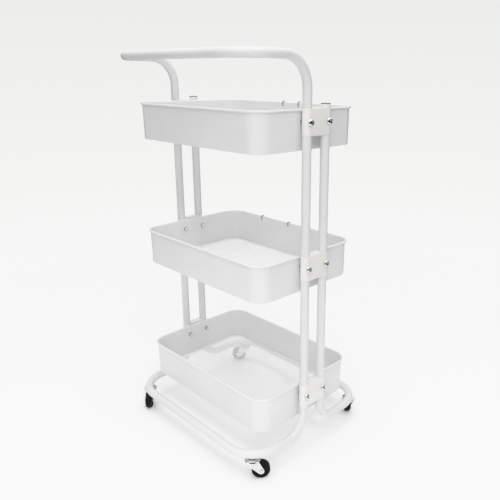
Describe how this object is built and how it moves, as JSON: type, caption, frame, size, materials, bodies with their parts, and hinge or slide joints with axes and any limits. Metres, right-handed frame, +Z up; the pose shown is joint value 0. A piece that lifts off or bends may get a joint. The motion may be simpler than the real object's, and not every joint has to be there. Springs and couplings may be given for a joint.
{
  "type": "rolling utility cart",
  "caption": "Tall utility cart with rounded rectangular mesh-floored trays between two bent-tube frames, a push handle over the front, plastic connectors and swivel casters.",
  "frame": {"origin": "on the floor under the middle of the cart, at the bottom centre of its box", "axes": "+Z up; +X along the trays' long sides; -Y towards the side that the push handle leans over"},
  "size_m": [0.4726, 0.3876, 0.8825],
  "materials": {
    "powder_coat": "white powder coat, semi-gloss, fine orange peel",
    "mesh_coat": "white powder-coated welded wire mesh",
    "connector_plastic": "warm white moulded plastic, fine satin texture",
    "cap_plastic": "grey moulded plastic, fine satin texture",
    "chrome_fasteners": "bright nickel-chrome plate",
    "hook_wire": "plated steel wire",
    "zinc_plate": "bright zinc-plated pressed steel",
    "black_rubber": "matt black wheel"
  },
  "bodies": {
    "frame": {"handle": "powder_coat", "base_front": "powder_coat", "base_back": "powder_coat", "lower_tube_front_left": "powder_coat", "lower_tube_back_left": "powder_coat", "lower_tube_front_right": "powder_coat", "lower_tube_back_right": "powder_coat", "upper_tube_front_left": "powder_coat", "upper_tube_back_left": "powder_coat", "upper_tube_front_right": "powder_coat", "upper_tube_back_right": "powder_coat", "connector_bottom_left": "connector_plastic", "connector_bottom_right": "connector_plastic", "connector_middle_left": "connector_plastic", "connector_middle_right": "connector_plastic", "connector_top_left": "connector_plastic", "connector_top_right": "connector_plastic", "end_cap_left": "cap_plastic", "end_cap_right": "cap_plastic", "tray_wall_bottom": "powder_coat", "tray_floor_bottom": "mesh_coat", "tray_wall_middle": "powder_coat", "tray_floor_middle": "mesh_coat", "tray_wall_top": "powder_coat", "tray_floor_top": "mesh_coat", "bolt_bottom_front_left": "chrome_fasteners", "bolt_bottom_back_left": "chrome_fasteners", "bolt_bottom_front_right": "chrome_fasteners", "bolt_bottom_back_right": "chrome_fasteners", "bolt_middle_front_left": "chrome_fasteners", "bolt_middle_back_left": "chrome_fasteners", "bolt_middle_front_right": "chrome_fasteners", "bolt_middle_back_right": "chrome_fasteners", "bolt_top_front_left": "chrome_fasteners", "bolt_top_back_left": "chrome_fasteners", "bolt_top_front_right": "chrome_fasteners", "bolt_top_back_right": "chrome_fasteners", "hook_top_1": "hook_wire", "hook_top_2": "hook_wire", "hook_middle_1": "hook_wire", "hook_middle_2": "hook_wire", "caster_stem_front_right": "zinc_plate", "caster_stem_front_left": "zinc_plate", "caster_stem_back_right": "zinc_plate", "caster_stem_back_left": "zinc_plate"},
    "fork_front_right": {"caster_fork_front_right": "zinc_plate", "caster_axle_front_right": "zinc_plate"},
    "wheel_front_right": {"caster_wheel_front_right": "black_rubber"},
    "fork_front_left": {"caster_fork_front_left": "zinc_plate", "caster_axle_front_left": "zinc_plate"},
    "wheel_front_left": {"caster_wheel_front_left": "black_rubber"},
    "fork_back_right": {"caster_fork_back_right": "zinc_plate", "caster_axle_back_right": "zinc_plate"},
    "wheel_back_right": {"caster_wheel_back_right": "black_rubber"},
    "fork_back_left": {"caster_fork_back_left": "zinc_plate", "caster_axle_back_left": "zinc_plate"},
    "wheel_back_left": {"caster_wheel_back_left": "black_rubber"}
  },
  "joints": [
    {"name": "swivel_front_right", "type": "hinge", "parent": "frame", "child": "fork_front_right", "pos_m": [0.2005, -0.1635, 0.0434], "axis": [0, 0, 1], "continuous": true},
    {"name": "roll_front_right", "type": "hinge", "parent": "fork_front_right", "child": "wheel_front_right", "pos_m": [0.21207, -0.14971, 0.02], "axis": [-0.766, 0.6428, 0], "continuous": true},
    {"name": "swivel_front_left", "type": "hinge", "parent": "frame", "child": "fork_front_left", "pos_m": [-0.2005, -0.1635, 0.0434], "axis": [0, 0, 1], "continuous": true},
    {"name": "roll_front_left", "type": "hinge", "parent": "fork_front_left", "child": "wheel_front_left", "pos_m": [-0.18755, -0.176, 0.02], "axis": [0.6947, 0.7193, 0], "continuous": true},
    {"name": "swivel_back_right", "type": "hinge", "parent": "frame", "child": "fork_back_right", "pos_m": [0.2005, 0.1635, 0.0434], "axis": [0, 0, 1], "continuous": true},
    {"name": "roll_back_right", "type": "hinge", "parent": "fork_back_right", "child": "wheel_back_right", "pos_m": [0.18631, 0.17458, 0.02], "axis": [-0.6157, -0.788, 0], "continuous": true},
    {"name": "swivel_back_left", "type": "hinge", "parent": "frame", "child": "fork_back_left", "pos_m": [-0.2005, 0.1635, 0.0434], "axis": [0, 0, 1], "continuous": true},
    {"name": "roll_back_left", "type": "hinge", "parent": "fork_back_left", "child": "wheel_back_left", "pos_m": [-0.21345, 0.15099, 0.02], "axis": [0.6947, -0.7193, 0], "continuous": true}
  ]
}
